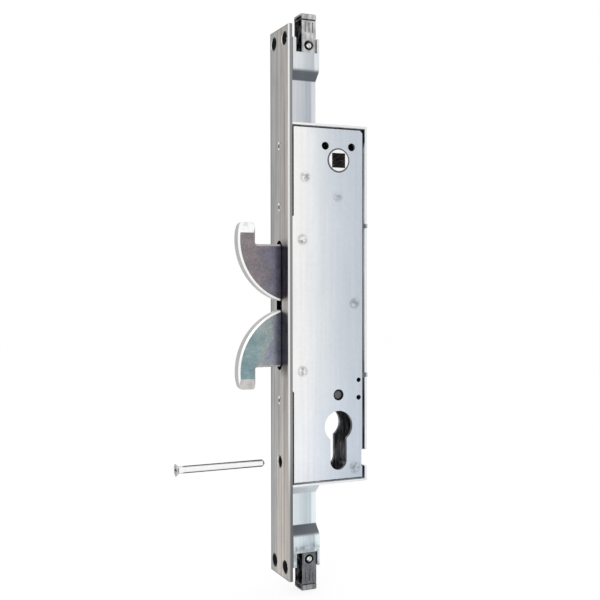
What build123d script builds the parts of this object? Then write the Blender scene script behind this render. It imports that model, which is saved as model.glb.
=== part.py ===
from build123d import *
import math
import os

os.makedirs("parts", exist_ok=True)

# Mortise hook lock, millimetres.
# X runs from the faceplate into the door, Y away from the cover side, Z up.
# The origin is at the middle of the faceplate's back, which lies on the edge of the door.

# Faceplate
plate_length = 306.0
plate_width = 26.0
plate_thickness = 2.5
plate_arris = 0.4
fixing_pitch = 15.0
fixing_inset = 7.0
fixing_radius = 2.3
fixing_sink_radius = 4.0
sink_angle = 90.0
hook_slot_inset = 0.4
plate_rivet_heights = (88.0, 54.0, -54.0)
plate_rivet_radius = 1.5
plate_rivet_head_radius = 2.4
plate_rivet_sink = 1.0
plate_rivet_tail = 0.9

# Case: a flat back, a strip of wall folded round its four sides, and a flat cover
case_thickness = 18.0
sheet = 2.0
wall = 1.5
case_top_margin = 17.5
case_bottom_margin = 5.1
cover_gap = 0.9
cover_rear_gap = 1.3
cover_tab_gap = 0.3
cover_front = 2.5
cover_nose_rise = 10.4
cover_nose_ramp = 2.0
cover_corner = 1.6
cover_tab_heights = (44.0, -41.0)
cover_tab_height = 2.4
cover_tab_reach = 0.5
rear_window_height = 9.4
rear_window_step = 0.7

# Heights and places of the working axes; the backset counts from the front of the faceplate
backset = 32.5
follower_height = 80.5
follower_to_cylinder = 150.0
gear_centres = 20.5
pivot_x = 7.8
hook_middle = -0.9
hook_gap = 1.7
drive_travel = 12.0
hook_turn = 90.0

# Hooks, measured from their pivots
hook_thickness = 6.8
hook_side_gap = 0.35
hook_radius = 35.75
hook_tip_rise = 9.5
hook_beak_inner = 25.7
hook_shank_drop = 2.6
hook_hub_radius = 7.3
hook_arc_end = 262.0
hook_ear_wall = 2.6
hook_edge_bevel = 1.0
hook_edge_break = 0.3
hook_tip_bevel_length = 5.9
hook_tip_bevel_depth = 1.9
hook_tip_outer_round = 3.0
hook_tip_inner_round = 1.4
hook_throat_round = 1.0

# Pins and riveted posts
pivot_radius = 2.25
drive_pin_radius = 1.75
drive_pin_play = 0.55
post_radius = 2.25
axle_radius = 3.0
tenon_radius = 1.75
rivet_head_radius = 2.8
rivet_head_height = 0.2
running_clearance = 0.05
seat_clearance = 0.03
front_post_x = 9.5
front_post_drop = 10.1
rear_post_x = 40.3
bottom_post_drop = 24.1

# Drive bars
bar_left = 3.2
bar_width = 16.0
bar_thickness = 3.0
bar_side_gap = 0.3
guide_gap = 0.3
upper_joggle_gap = 5.05
lower_joggle_gap = 1.3
bar_inner_joggle_length = 4.6
bar_outer_joggle_start = 125.6
bar_outer_joggle_length = 4.9
bar_outer_offset = 5.0
bar_bend_radius = 2.6
bar_end_margin = 4.5
bar_cut_back_length = 15.2
bar_cut_back_x = 11.0
arm_drop = 13.7
arm_reach_gap = 0.35
finger_width = 1.9
rack_root_depth = 0.3

# Gears, module 1 with a 25 degree pressure angle
gear_module = 1.0
pressure_angle = 25.0
follower_teeth = 15
addendum = 0.95
dedendum = 1.25
backlash = 0.16
flank_foot = 0.2
gear_side_gap = 0.35

# Follower and the holes about it
square_side = 8.2
follower_journal_radius = 6.75
follower_journal_bevel = 0.3
follower_proud = 0.2
handle_hole_radius = 2.2
handle_hole_spacing = 16.4
handle_hole_rise = 7.8

# Profile cylinder hole and its screw
cylinder_radius = 8.75
cylinder_leg_half_width = 5.1
cylinder_hole_height = 33.5
screw_drop = 19.0
screw_radius = 2.0
screw_length = 50.8
screw_head_radius = 3.4
screw_hole_play = 0.3
screw_withdrawn = 60.3
screw_point = 1.2
screw_cross_length = 4.0
screw_cross_width = 0.9
screw_cross_depth = 1.3

# Deadlock lever
lever_rise = 17.8
lever_pivot_radius = 2.75
lever_pivot_recess = 1.0
lever_window_radius = 3.15
lever_shoulder_radius = 4.2
lever_boss_radius = 5.4
lever_nose = (-7.2, 5.5)
lever_nose_radius = 1.6
lever_tail = (7.6, -4.6)
lever_tail_radius = 2.2
lever_turn = 18.0
lever_tail_thickness = 6.0
lever_notch_depth = 1.8
lever_notch_height = 5.5
jig_hole_x = 42.75
jig_hole_rises = (25.8, 15.8)
jig_hole_radii = (1.3, 1.4)

# Rod connectors on the drive bars
connector_left = 9.2
connector_width = 8.6
connector_thickness = 10.3
connector_length = 21.9
fork_left = 5.2
fork_right = 17.9
fork_length = 7.9
fork_rise = 9.3
fork_gap = 0.1
foot_rise = 1.2
cap_thickness = 3.0
cap_overhang = 0.5
cap_corner_round = 1.2
cap_edge_round = 0.7
cap_groove = 0.8
cap_groove_depth = 0.7
socket_width = 5.4
socket_past_screw = 2.7
socket_thickness = 4.6
clamp_screw_rise = 4.4
clamp_screw_radius = 2.3
clamp_screw_recess = 0.5
clamp_hole_bevel = 0.6
clamp_screw_key = 1.3
flute_count = 3
flute_pitch = 2.2
flute_width = 0.8
flute_length = 6.0
flute_depth = 0.4
flute_drop = 7.6

# Derived places
case_half = case_thickness / 2
inner_half = case_half - sheet
axis_x = backset - plate_thickness
cylinder_height = follower_height - follower_to_cylinder
profile_low = cylinder_height + cylinder_radius - cylinder_hole_height
screw_height = cylinder_height - screw_drop
screw_head_depth = screw_head_radius - screw_radius
cover_top = follower_height + case_top_margin
cover_bottom = profile_low - case_bottom_margin
case_mid = (cover_top + cover_bottom) / 2
inside_height = cover_top - cover_bottom + 2 * cover_gap
outside_height = inside_height + 2 * wall
pivot_height = hook_radius + hook_gap / 2
hook_slot_half_length = pivot_height - hook_slot_inset
cover_nose_half_height = pivot_height + cover_nose_rise
idler_height = follower_height - gear_centres
follower_pitch = gear_module * follower_teeth / 2
idler_pitch = gear_centres - follower_pitch
idler_teeth = round(2 * idler_pitch / gear_module)
finger_left = axis_x + idler_pitch + dedendum * gear_module
rear_inner_x = finger_left + finger_width + arm_reach_gap
case_depth = rear_inner_x + wall
cover_rear = rear_inner_x - cover_rear_gap
window_low = screw_height - rear_window_height / 2
window_high = window_low + rear_window_height
lever_pivot_height = cylinder_height + lever_rise
front_post = (front_post_x, follower_height - front_post_drop)
rear_post = (rear_post_x, 0.0)
bottom_post = (rear_post_x, cylinder_height - bottom_post_drop)
hook_half = hook_thickness / 2
hook_slot_width = hook_thickness + 2 * hook_side_gap
pin_offset = drive_travel / 2 / math.tan(math.radians(hook_turn / 2))
pin_height = pivot_height - drive_travel / 2
bar_right = bar_left + bar_width
bar_inner_end = pin_height + bar_end_margin
bar_cut_back_height = bar_inner_end - bar_cut_back_length
arm_low = hook_middle + pin_height - arm_drop
bar_layer = hook_half + bar_side_gap + bar_thickness / 2
gear_half = inner_half - gear_side_gap
outer_joggle_end = bar_outer_joggle_start + bar_outer_joggle_length
foot_start = outer_joggle_end + foot_rise
fork_base = outer_joggle_end + fork_rise
bar_end = fork_base + fork_length
connector_end = fork_base + connector_length
connector_half = connector_thickness / 2
connector_mid = connector_left + connector_width / 2
clamp_screw_height = fork_base + clamp_screw_rise
socket_depth = connector_end - clamp_screw_height + socket_past_screw
guide_radius = post_radius + guide_gap
pivot_guide_radius = pivot_radius + guide_gap
upper_inner_joggle_start = front_post[1] + drive_travel + guide_radius + upper_joggle_gap
lower_inner_joggle_start = drive_travel - screw_height + lower_joggle_gap


def layer(far_y):
    """Plane seen from the cover side, at the given Y; extruding goes towards the cover."""
    return Plane.XZ.offset(-far_y)


def polar(radius, degrees):
    return (radius * math.cos(math.radians(degrees)), radius * math.sin(math.radians(degrees)))


def involute(angle):
    return math.tan(angle) - angle


def gear_outline(teeth, first_tooth):
    """Points round a spur gear, with one tooth centred on the given direction in degrees."""
    pitch = gear_module * teeth / 2
    base = pitch * math.cos(math.radians(pressure_angle))
    root = pitch - dedendum * gear_module
    tip = pitch + addendum * gear_module
    half_at_pitch = (math.pi * gear_module / 2 - backlash / 2) / (2 * pitch)
    points = []
    for tooth in range(teeth):
        middle = math.radians(first_tooth) + 2 * math.pi * tooth / teeth
        flank = []
        for radius in (root, max(base, root + flank_foot), pitch, (pitch + tip) / 2, tip):
            swing = involute(math.acos(base / max(radius, base)))
            flank.append((radius, half_at_pitch + involute(math.radians(pressure_angle)) - swing))
        for radius, half in flank:
            points.append((radius * math.cos(middle - half), radius * math.sin(middle - half)))
        for radius, half in reversed(flank):
            points.append((radius * math.cos(middle + half), radius * math.sin(middle + half)))
    return points


def rack_tooth(pitch_x, facing, height):
    """Corners of one rack tooth at a height; facing is +1 for teeth that point along +X."""
    slope = math.tan(math.radians(pressure_angle))
    half = (math.pi * gear_module / 2 - backlash / 2) / 2
    root = dedendum * gear_module + rack_root_depth
    tip = addendum * gear_module
    root_half = half + root * slope
    tip_half = half - tip * slope
    root_x = pitch_x - facing * root
    tip_x = pitch_x + facing * tip
    return [
        (root_x, height - root_half),
        (tip_x, height - tip_half),
        (tip_x, height + tip_half),
        (root_x, height + root_half),
    ]


def cylinder_profile():
    """Circle and leg of the profile cylinder hole, drawn in the plane of the case."""
    leg_end = profile_low + cylinder_leg_half_width
    with Locations((axis_x, cylinder_height)):
        Circle(cylinder_radius)
    with Locations((axis_x, (cylinder_height + leg_end) / 2)):
        Rectangle(2 * cylinder_leg_half_width, cylinder_height - leg_end)
    with Locations((axis_x, leg_end)):
        Circle(cylinder_leg_half_width)


def handle_holes():
    with Locations(
        (axis_x - handle_hole_spacing / 2, follower_height + handle_hole_rise),
        (axis_x + handle_hole_spacing / 2, follower_height + handle_hole_rise),
    ):
        Circle(handle_hole_radius)


def tenon_holes(points):
    with Locations(*points):
        Circle(tenon_radius + seat_clearance)


def riveted_posts(name, points, radius):
    """Shouldered posts between cover and back, riveted over on the outside of both."""
    with BuildPart() as post:
        with BuildSketch(layer(inner_half)):
            with Locations(*points):
                Circle(radius)
        extrude(amount=2 * inner_half)
        with BuildSketch(layer(case_half)):
            with Locations(*points):
                Circle(tenon_radius)
        extrude(amount=case_thickness)
        for far_y in (case_half + rivet_head_height, -case_half):
            with BuildSketch(layer(far_y)):
                with Locations(*points):
                    Circle(rivet_head_radius)
            extrude(amount=rivet_head_height)
    post.part.label = name
    export_step(post.part, f"parts/{name}.step")


def gear_profile(teeth, first_tooth):
    with BuildSketch() as profile:
        with BuildLine():
            Polyline(*gear_outline(teeth, first_tooth), close=True)
        make_face()
    return profile.sketch


pivots = ((pivot_x, hook_middle + pivot_height), (pivot_x, hook_middle - pivot_height))
post_points = (front_post, rear_post, bottom_post)
axle_point = (axis_x, idler_height)
lever_point = (axis_x, lever_pivot_height)
riveted_points = (*pivots, *post_points, axle_point)

# Faceplate
with BuildPart() as faceplate:
    with BuildSketch(Plane.YZ):
        Rectangle(plate_width, plate_length)
    extrude(amount=-plate_thickness)
    front_edges = faceplate.faces().sort_by(Axis.X)[0].edges()
    chamfer(front_edges, plate_arris)
    with BuildSketch(Plane.YZ):
        with Locations((0, hook_middle)):
            SlotOverall(2 * hook_slot_half_length, hook_slot_width, rotation=90)
    extrude(amount=-plate_thickness, mode=Mode.SUBTRACT)
    with Locations(Plane(origin=(-plate_thickness, 0, 0), x_dir=(0, -1, 0), z_dir=(-1, 0, 0))):
        with GridLocations(fixing_pitch, plate_length - 2 * fixing_inset, 2, 2):
            CounterSinkHole(fixing_radius, fixing_sink_radius, plate_thickness, sink_angle)
        with Locations((0, screw_height)):
            CounterSinkHole(
                screw_radius + screw_hole_play,
                screw_head_radius + screw_hole_play,
                plate_thickness,
                sink_angle,
            )
        with Locations(*[(0, height) for height in plate_rivet_heights]):
            CounterSinkHole(
                plate_rivet_radius + seat_clearance,
                plate_rivet_head_radius + seat_clearance,
                plate_thickness,
                sink_angle,
            )
faceplate.part.label = "faceplate"
export_step(faceplate.part, "parts/faceplate.step")

# Walls of the case, a strip folded round its four sides
with BuildPart() as case_walls:
    with BuildSketch(layer(inner_half)):
        with Locations((case_depth / 2, case_mid)):
            Rectangle(case_depth, outside_height)
        with Locations(((wall + rear_inner_x) / 2, case_mid)):
            Rectangle(rear_inner_x - wall, inside_height, mode=Mode.SUBTRACT)
    extrude(amount=inner_half + case_half)
    with BuildSketch(layer(-inner_half)):
        with Locations((wall / 2, case_mid)):
            Rectangle(wall, inside_height)
    extrude(amount=sheet, mode=Mode.SUBTRACT)
    with BuildSketch(Plane.YZ):
        hub_room = pivot_height + hook_hub_radius - wall / 2
        with Locations((0, hook_middle)):
            Rectangle(hook_slot_width + 2 * hook_side_gap, 2 * hub_room)
        with Locations((0, screw_height)):
            Circle(screw_radius + screw_hole_play)
        with Locations(*[(0, height) for height in plate_rivet_heights]):
            Circle(plate_rivet_radius + seat_clearance)
    extrude(amount=wall, mode=Mode.SUBTRACT)
    # The upper bar leaves along the middle of the case; the joggle of the lower one moves into its slot
    for side, layer_reach in ((1, 0), (-1, bar_layer)):
        slot_near = max(-layer_reach - bar_thickness / 2 - bar_side_gap, -inner_half)
        slot_far = bar_thickness / 2 + bar_side_gap
        with BuildSketch(Plane.XY.offset(case_mid + side * (inside_height + wall) / 2)):
            with Locations(((bar_left + bar_right) / 2, (slot_near + slot_far) / 2)):
                Rectangle(bar_width + 2 * bar_side_gap, slot_far - slot_near)
        extrude(amount=wall, both=True, mode=Mode.SUBTRACT)
    with BuildSketch(Plane.YZ.offset(rear_inner_x)):
        with Locations((-(case_half - inner_half / 2) / 2, (window_low + window_high) / 2)):
            Rectangle(case_half + inner_half / 2, window_high - window_low)
        for height in cover_tab_heights:
            with Locations((-case_half + sheet / 2, height)):
                Rectangle(sheet + 2 * cover_tab_gap, cover_tab_height + 2 * cover_tab_gap)
    extrude(amount=wall, mode=Mode.SUBTRACT)
case_walls.part.label = "case_walls"
export_step(case_walls.part, "parts/case_walls.step")

# Back of the case, on the far edges of its walls
with BuildPart() as case_back:
    with BuildSketch(layer(case_half)):
        with Locations((case_depth / 2, case_mid)):
            Rectangle(case_depth, outside_height)
        with BuildSketch(mode=Mode.PRIVATE) as back_holes:
            cylinder_profile()
            handle_holes()
            tenon_holes((*riveted_points, lever_point))
            with Locations((axis_x, follower_height)):
                Circle(follower_journal_radius + running_clearance)
        add(back_holes.sketch, mode=Mode.SUBTRACT)
    extrude(amount=sheet)
case_back.part.label = "case_back"
export_step(case_back.part, "parts/case_back.step")

# Cover of the case, with a nose that reaches the faceplate beside the hooks
with BuildPart() as case_cover:
    with BuildSketch(layer(-inner_half)):
        with BuildLine():
            Polyline(
                (cover_front, cover_bottom),
                (cover_front, -cover_nose_half_height - cover_nose_ramp),
                (0, -cover_nose_half_height),
                (0, cover_nose_half_height),
                (cover_front, cover_nose_half_height + cover_nose_ramp),
                (cover_front, cover_top),
                (cover_rear - cover_corner, cover_top),
                (cover_rear, cover_top - cover_corner),
                (cover_rear, window_high),
                (cover_rear - rear_window_step, window_high),
                (cover_rear - rear_window_step, window_low),
                (cover_rear, window_low),
                (cover_rear, cover_bottom),
                close=True,
            )
        make_face()
        tab_end = case_depth + cover_tab_reach
        for height in cover_tab_heights:
            with Locations(((cover_rear + tab_end) / 2 - sheet / 2, height)):
                Rectangle(tab_end - cover_rear + sheet, cover_tab_height)
        with BuildSketch(mode=Mode.PRIVATE) as cover_holes:
            cylinder_profile()
            handle_holes()
            tenon_holes(riveted_points)
            with Locations((axis_x, follower_height)):
                Circle(follower_journal_radius + running_clearance)
            with Locations(lever_point):
                Circle(lever_window_radius)
            for rise, radius in zip(jig_hole_rises, jig_hole_radii):
                with Locations((jig_hole_x, cylinder_height + rise)):
                    Circle(radius)
        add(cover_holes.sketch, mode=Mode.SUBTRACT)
    extrude(amount=sheet)
case_cover.part.label = "case_cover"
export_step(case_cover.part, "parts/case_cover.step")

# Rivets that hold the front wall of the case to the faceplate
with BuildPart() as faceplate_rivets:
    with BuildSketch(Plane.YZ.offset(-plate_thickness)):
        with Locations(*[(0, height) for height in plate_rivet_heights]):
            Circle(plate_rivet_radius)
    extrude(amount=plate_thickness + wall)
    for height in plate_rivet_heights:
        with Locations(Pos(plate_rivet_sink / 2 - plate_thickness, 0, height) * Rot(0, 90, 0)):
            Cone(plate_rivet_head_radius, plate_rivet_head_radius - plate_rivet_sink, plate_rivet_sink)
    with BuildSketch(Plane.YZ.offset(wall)):
        with Locations(*[(0, height) for height in plate_rivet_heights]):
            Circle(plate_rivet_head_radius)
    extrude(amount=plate_rivet_tail)
faceplate_rivets.part.label = "faceplate_rivets"
export_step(faceplate_rivets.part, "parts/faceplate_rivets.step")

# Posts that space the cover from the back, and the axles on the same kind of post
riveted_posts("case_posts", post_points, post_radius)
riveted_posts("upper_hook_pivot", pivots[:1], pivot_radius)
riveted_posts("lower_hook_pivot", pivots[1:], pivot_radius)
riveted_posts("idler_axle", (axle_point,), axle_radius)

# Upper hook: a sector about its pivot with an upturned beak, a hub and a slotted ear
tip_angle = 180 - math.degrees(math.asin(hook_tip_rise / hook_radius))
ear_reach = pin_offset / math.cos(math.radians(hook_turn / 2))
ear = polar(ear_reach, -hook_turn / 2)
ear_radius = drive_pin_radius + drive_pin_play + hook_ear_wall
beak_top = (-hook_beak_inner, hook_tip_rise)
throat = (-hook_beak_inner, -hook_shank_drop)
with BuildSketch() as hook_outline:
    with BuildLine():
        CenterArc((0, 0), hook_radius, tip_angle, hook_arc_end - tip_angle)
        Polyline(
            polar(hook_radius, hook_arc_end),
            ear,
            (0, 0),
            (-hook_hub_radius / 2, -hook_shank_drop),
            throat,
            beak_top,
            polar(hook_radius, tip_angle),
        )
    make_face()
    for corner, round_radius in (
        (polar(hook_radius, tip_angle), hook_tip_outer_round),
        (beak_top, hook_tip_inner_round),
        (throat, hook_throat_round),
    ):
        fillet(hook_outline.vertices().sort_by_distance((*corner, 0))[0], round_radius)
    Circle(hook_hub_radius)
    with Locations(ear):
        Circle(ear_radius)

with BuildPart() as upper_hook:
    with BuildSketch(layer(hook_half)):
        with Locations(pivots[0]):
            add(hook_outline.sketch)
    extrude(amount=hook_thickness)
    for flat, size in ((0, hook_edge_bevel), (-1, hook_edge_break)):
        flat_edges = upper_hook.faces().filter_by(Plane.XZ).sort_by(Axis.Y)[flat].edges()
        chamfer(flat_edges.filter_by(lambda edge: edge.center().X < pivot_x - hook_hub_radius), size)
    tip_z = pivots[0][1] + hook_tip_rise
    with BuildSketch(Plane.YZ.offset(pivot_x - hook_radius)):
        for face in (1, -1):
            with BuildLine():
                Polyline(
                    (face * hook_half, tip_z - hook_tip_bevel_length),
                    (face * (hook_half - hook_tip_bevel_depth), tip_z + seat_clearance),
                    (face * hook_thickness, tip_z + seat_clearance),
                    (face * hook_thickness, tip_z - hook_tip_bevel_length),
                    close=True,
                )
            make_face()
    extrude(amount=hook_radius - hook_beak_inner + seat_clearance, mode=Mode.SUBTRACT)
    with BuildSketch(layer(hook_half)):
        with Locations(pivots[0]):
            Circle(pivot_radius + running_clearance)
            with Locations(polar((pin_offset + ear_reach) / 2, -hook_turn / 2)):
                SlotCenterToCenter(
                    ear_reach - pin_offset, 2 * (drive_pin_radius + drive_pin_play), rotation=-hook_turn / 2
                )
    extrude(amount=hook_thickness, mode=Mode.SUBTRACT)
upper_hook.part.label = "upper_hook"
export_step(upper_hook.part, "parts/upper_hook.step")

with BuildPart() as lower_hook:
    mirror(upper_hook.part, about=Plane.XY.offset(hook_middle))
lower_hook.part.label = "lower_hook"
export_step(lower_hook.part, "parts/lower_hook.step")

# Drive bars: bent strips whose inner ends lie one each side of the hooks
for side, name, inner_joggle_start in (
    (1, "upper_drive_bar", upper_inner_joggle_start),
    (-1, "lower_drive_bar", lower_inner_joggle_start),
):
    far_y = side * bar_layer + bar_thickness / 2
    inner_joggle_end = inner_joggle_start + bar_inner_joggle_length
    inner_end = hook_middle - side * bar_inner_end
    cut_back_end = hook_middle - side * bar_cut_back_height
    pin_point = (pivot_x + pin_offset, hook_middle - side * pin_height)
    with BuildPart() as drive_bar:
        with BuildSketch(Plane.YZ.offset(bar_left)):
            with BuildLine():
                FilletPolyline(
                    (side * bar_layer, inner_end),
                    (side * bar_layer, side * inner_joggle_start),
                    (0, side * inner_joggle_end),
                    (0, side * bar_outer_joggle_start),
                    (-bar_outer_offset, side * outer_joggle_end),
                    (-bar_outer_offset, side * bar_end),
                    radius=bar_bend_radius,
                )
            trace(line_width=bar_thickness)
        extrude(amount=bar_width)
        # Fork that takes the connector
        with BuildSketch(layer(0)):
            with Locations(((fork_left + fork_right) / 2, side * (fork_base + bar_end) / 2)):
                Rectangle(fork_right - fork_left, bar_end - fork_base + seat_clearance)
        extrude(amount=case_thickness, mode=Mode.SUBTRACT)
        # Inner end cut back to pass beside the hook pivot at full travel
        with BuildSketch(layer(far_y)):
            with Locations(((bar_left + bar_cut_back_x) / 2, (inner_end + cut_back_end) / 2)):
                Rectangle(bar_cut_back_x - bar_left, abs(cut_back_end - inner_end))
        extrude(amount=bar_thickness, mode=Mode.SUBTRACT)
        # Guide slots for the posts that the bar passes, as long as its travel
        guides = [(pivot_x, hook_middle + side * pivot_height, pivot_guide_radius)]
        if side > 0:
            guides.append((*front_post, guide_radius))
        with BuildSketch(layer(far_y)):
            for x, z, radius in guides:
                with Locations((x, z + side * drive_travel / 2)):
                    SlotCenterToCenter(drive_travel, 2 * radius, rotation=90)
        extrude(amount=bar_thickness, mode=Mode.SUBTRACT)
        if side > 0:
            # Right edge cut back to the root of the rack beside the idler gear
            root_x = axis_x - idler_pitch - dedendum * gear_module
            clear_low = idler_height - idler_pitch - 2 * gear_module
            clear_high = idler_height + idler_pitch + 2 * gear_module + drive_travel
            with BuildSketch(layer(far_y)):
                with Locations(((root_x + bar_right) / 2, (clear_low + clear_high) / 2)):
                    Rectangle(bar_right - root_x, clear_high - clear_low)
            extrude(amount=bar_thickness, mode=Mode.SUBTRACT)
        else:
            # Arm past the rear of the upper hook, with a finger that carries the rack
            arm_right = rear_inner_x - arm_reach_gap
            finger_top = idler_height + 1.5 * math.pi * gear_module
            idler_tip = idler_pitch + addendum * gear_module
            arm_high = idler_height - idler_tip - drive_travel - arm_reach_gap
            with BuildSketch(layer(far_y)):
                with BuildLine():
                    Polyline(
                        (bar_right - seat_clearance, arm_low),
                        (arm_right, arm_low),
                        (arm_right, finger_top),
                        (finger_left, finger_top),
                        (finger_left, arm_high),
                        (bar_right - seat_clearance, arm_high),
                        close=True,
                    )
                make_face()
            extrude(amount=bar_thickness)
            # Notch for the deadlock lever's nose
            turn = math.radians(lever_turn)
            nose_rise = lever_nose[1] * math.cos(turn) + lever_nose[0] * math.sin(turn)
            with BuildSketch(layer(far_y)):
                with Locations((bar_right - lever_notch_depth / 2, lever_pivot_height + nose_rise)):
                    Rectangle(lever_notch_depth, lever_notch_height)
            extrude(amount=bar_thickness, mode=Mode.SUBTRACT)
        # Rack teeth, one of them level with the idler gear's axis
        ahead = math.ceil(drive_travel / (math.pi * gear_module))
        with BuildSketch(layer(far_y)):
            for step in range(-1, ahead + 2):
                height = idler_height + side * step * math.pi * gear_module
                with BuildLine():
                    Polyline(*rack_tooth(axis_x - side * idler_pitch, side, height), close=True)
                make_face()
        extrude(amount=bar_thickness)
        # Hole for the hook drive pin
        with BuildSketch(layer(far_y)):
            with Locations(pin_point):
                Circle(drive_pin_radius + seat_clearance)
        extrude(amount=bar_thickness, mode=Mode.SUBTRACT)
    drive_bar.part.label = name
    export_step(drive_bar.part, f"parts/{name}.step")

    # Pin through the bar into the slot of the hook on the other side of the middle
    pin_name = "lower_hook_drive_pin" if side > 0 else "upper_hook_drive_pin"
    with BuildPart() as drive_pin:
        with BuildSketch(layer(far_y if side > 0 else hook_half)):
            with Locations(pin_point):
                Circle(drive_pin_radius)
        extrude(amount=bar_thickness + bar_side_gap + hook_thickness)
    drive_pin.part.label = pin_name
    export_step(drive_pin.part, f"parts/{pin_name}.step")

# Idler gear that joins the two racks
with BuildPart() as idler_gear:
    with BuildSketch(layer(gear_half)):
        with Locations(axle_point):
            add(gear_profile(idler_teeth, 90))
            Circle(axle_radius + running_clearance, mode=Mode.SUBTRACT)
    extrude(amount=2 * gear_half)
idler_gear.part.label = "idler_gear"
export_step(idler_gear.part, "parts/idler_gear.step")

# Follower, a gear with journals in the cover and the back and a square for the spindle
with BuildPart() as follower:
    gap_below = -90 + 180 / follower_teeth
    with BuildSketch(layer(gear_half)):
        with Locations((axis_x, follower_height)):
            add(gear_profile(follower_teeth, gap_below))
    extrude(amount=2 * gear_half)
    with BuildSketch(layer(gear_half)):
        with Locations((axis_x, follower_height)):
            Circle(follower_journal_radius)
    extrude(amount=-(case_half + follower_proud - gear_half))
    with BuildSketch(layer(-gear_half)):
        with Locations((axis_x, follower_height)):
            Circle(follower_journal_radius)
    extrude(amount=case_half + follower_proud - gear_half)
    journal_ends = follower.edges().filter_by(GeomType.CIRCLE).group_by(Axis.Y)
    chamfer(journal_ends[0] + journal_ends[-1], follower_journal_bevel)
    with BuildSketch(layer(case_half + follower_proud)):
        with Locations((axis_x, follower_height)):
            Rectangle(square_side, square_side)
    extrude(amount=case_thickness + 2 * follower_proud, mode=Mode.SUBTRACT)
follower.part.label = "follower"
export_step(follower.part, "parts/follower.step")

# Deadlock lever: a nose beside the lower bar and a thicker tail in the path of the cylinder's cam
lever_near = -(bar_layer + bar_thickness / 2)
with BuildPart() as lock_lever:
    for end, end_radius, thickness in (
        (lever_nose, lever_nose_radius, bar_thickness),
        (lever_tail, lever_tail_radius, lever_tail_thickness),
    ):
        with BuildSketch(layer(lever_near + thickness)):
            with Locations(lever_point):
                Circle(lever_boss_radius)
            with Locations((lever_point[0] + end[0], lever_point[1] + end[1])):
                Circle(end_radius)
            make_hull()
        extrude(amount=thickness)
    with BuildSketch(layer(case_half)):
        with Locations(lever_point):
            Circle(lever_pivot_radius + running_clearance)
    extrude(amount=case_thickness, mode=Mode.SUBTRACT)
lock_lever.part.label = "lock_lever"
export_step(lock_lever.part, "parts/lock_lever.step")

with BuildPart() as lever_post:
    with BuildSketch(layer(inner_half)):
        with Locations(lever_point):
            Circle(lever_pivot_radius)
    extrude(amount=inner_half + case_half - lever_pivot_recess)
    with BuildSketch(layer(inner_half)):
        with Locations(lever_point):
            Circle(lever_shoulder_radius)
    extrude(amount=inner_half - lever_near - lever_tail_thickness - gear_side_gap)
    with BuildSketch(layer(case_half)):
        with Locations(lever_point):
            Circle(tenon_radius)
    extrude(amount=sheet)
    with BuildSketch(layer(case_half + rivet_head_height)):
        with Locations(lever_point):
            Circle(rivet_head_radius)
    extrude(amount=rivet_head_height)
lever_post.part.label = "lever_post"
export_step(lever_post.part, "parts/lever_post.step")

# Rod connectors and their clamp screws, drawn for the upper bar and mirrored for the lower one
bar_back = -bar_outer_offset + bar_thickness / 2
with BuildPart() as upper_connector:
    body_end = connector_end - cap_thickness
    with BuildSketch(layer(connector_half)):
        with Locations((connector_mid, (fork_base + fork_gap + body_end) / 2)):
            Rectangle(connector_width, body_end - fork_base - fork_gap)
    extrude(amount=connector_thickness)
    with BuildSketch(Plane.XY.offset(body_end)):
        with Locations((connector_mid, 0)):
            RectangleRounded(connector_width + 2 * cap_overhang, connector_thickness, cap_corner_round)
    extrude(amount=cap_thickness)
    fillet(upper_connector.faces().sort_by(Axis.Z)[-1].edges(), cap_edge_round)
    with BuildSketch(layer(connector_half)):
        with Locations((connector_mid, (foot_start + fork_base) / 2 + fork_gap)):
            Rectangle(connector_width, fork_base - foot_start + 2 * fork_gap)
    extrude(amount=connector_half - bar_back)
    with BuildSketch(layer(-connector_half + cap_groove_depth)):
        with Locations((connector_mid, body_end - cap_groove / 2)):
            Rectangle(connector_width, cap_groove)
    extrude(amount=cap_groove_depth, mode=Mode.SUBTRACT)
    with BuildSketch(layer(-connector_half + flute_depth)):
        with Locations((connector_mid, connector_end - flute_drop)):
            with GridLocations(flute_pitch, 0, flute_count, 1):
                SlotOverall(flute_length, flute_width, rotation=90)
    extrude(amount=flute_depth, mode=Mode.SUBTRACT)
    with BuildSketch(Plane.XY.offset(connector_end)):
        with Locations((connector_mid, 0)):
            Rectangle(socket_width, socket_thickness)
    extrude(amount=-socket_depth, mode=Mode.SUBTRACT)
    with Locations(Plane(origin=(connector_mid, -connector_half, clamp_screw_height), z_dir=(0, -1, 0))):
        CounterSinkHole(
            clamp_screw_radius + seat_clearance,
            clamp_screw_radius + clamp_hole_bevel,
            connector_half,
            sink_angle,
        )
upper_connector.part.label = "upper_connector"
export_step(upper_connector.part, "parts/upper_connector.step")

with BuildPart() as upper_clamp_screw:
    screw_front = -connector_half + clamp_screw_recess
    with BuildSketch(layer(-socket_thickness / 2)):
        with Locations((connector_mid, clamp_screw_height)):
            Circle(clamp_screw_radius)
    extrude(amount=-socket_thickness / 2 - screw_front)
    with BuildSketch(layer(screw_front + clamp_screw_key)):
        with Locations((connector_mid, clamp_screw_height)):
            RegularPolygon(clamp_screw_key, 6)
    extrude(amount=clamp_screw_key, mode=Mode.SUBTRACT)
upper_clamp_screw.part.label = "upper_clamp_screw"
export_step(upper_clamp_screw.part, "parts/upper_clamp_screw.step")

with BuildPart() as lower_connector:
    mirror(upper_connector.part, about=Plane.XY)
lower_connector.part.label = "lower_connector"
export_step(lower_connector.part, "parts/lower_connector.step")

with BuildPart() as lower_clamp_screw:
    mirror(upper_clamp_screw.part, about=Plane.XY)
lower_clamp_screw.part.label = "lower_clamp_screw"
export_step(lower_clamp_screw.part, "parts/lower_clamp_screw.step")

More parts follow.
